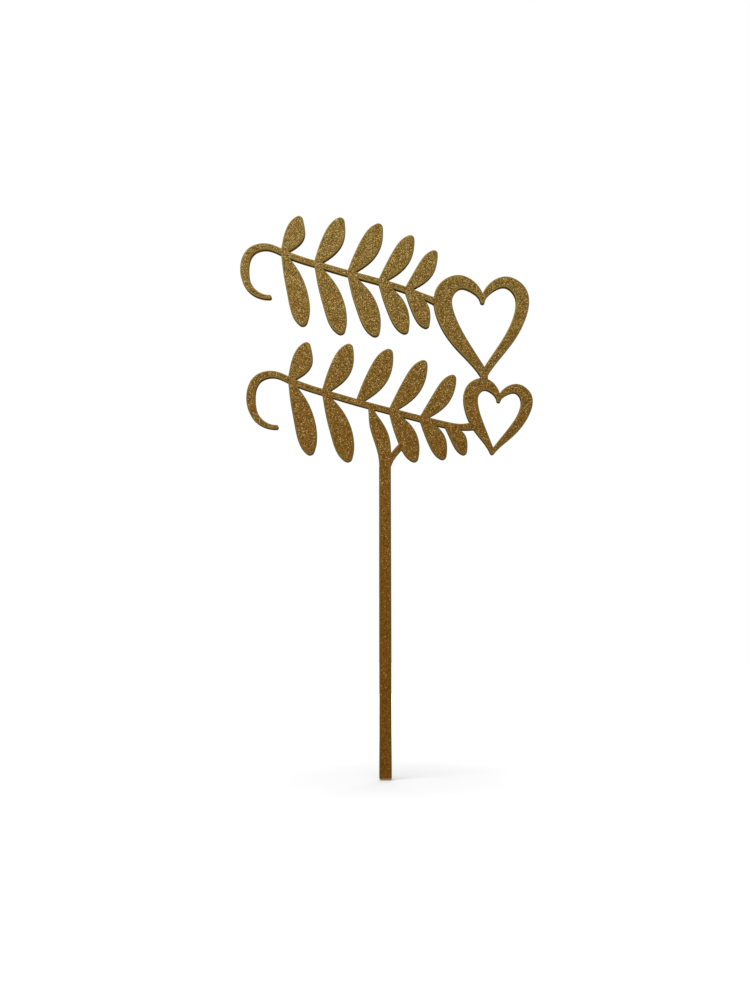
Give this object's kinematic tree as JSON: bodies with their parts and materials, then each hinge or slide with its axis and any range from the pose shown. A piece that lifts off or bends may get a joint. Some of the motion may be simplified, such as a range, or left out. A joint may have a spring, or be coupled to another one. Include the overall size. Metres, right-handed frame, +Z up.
{
  "type": "cake topper",
  "caption": "Flat glitter cake topper with leafy brush-stroke branches and joined hearts on a slim flat stick that is pushed into a cake.",
  "frame": {"origin": "middle of the stick's flat lower tip, in the middle of the sheet's thickness", "axes": "+Z up along the stick, +X to the right as seen from the front, +Y from the front face to the back face"},
  "size_m": [0.126, 0.003, 0.24],
  "materials": {
    "glitter_coat": "fine gold glitter in a clear coat, sparkling, with a grain under half a millimetre",
    "sheet_core": "smooth satin dark bronze cut edge",
    "lap_glue": "clear cement"
  },
  "bodies": {
    "root": {"stick_core": "sheet_core", "stick_front_glitter": "glitter_coat", "stick_back_glitter": "glitter_coat", "lower_branch_core": "sheet_core", "lower_branch_front_glitter": "glitter_coat", "lower_branch_back_glitter": "glitter_coat", "upper_branch_core": "sheet_core", "upper_branch_front_glitter": "glitter_coat", "upper_branch_back_glitter": "glitter_coat", "large_heart_core": "sheet_core", "large_heart_front_glitter": "glitter_coat", "large_heart_back_glitter": "glitter_coat", "small_heart_core": "sheet_core", "small_heart_front_glitter": "glitter_coat", "small_heart_back_glitter": "glitter_coat", "lap_glue": "lap_glue"}
  },
  "joints": []
}
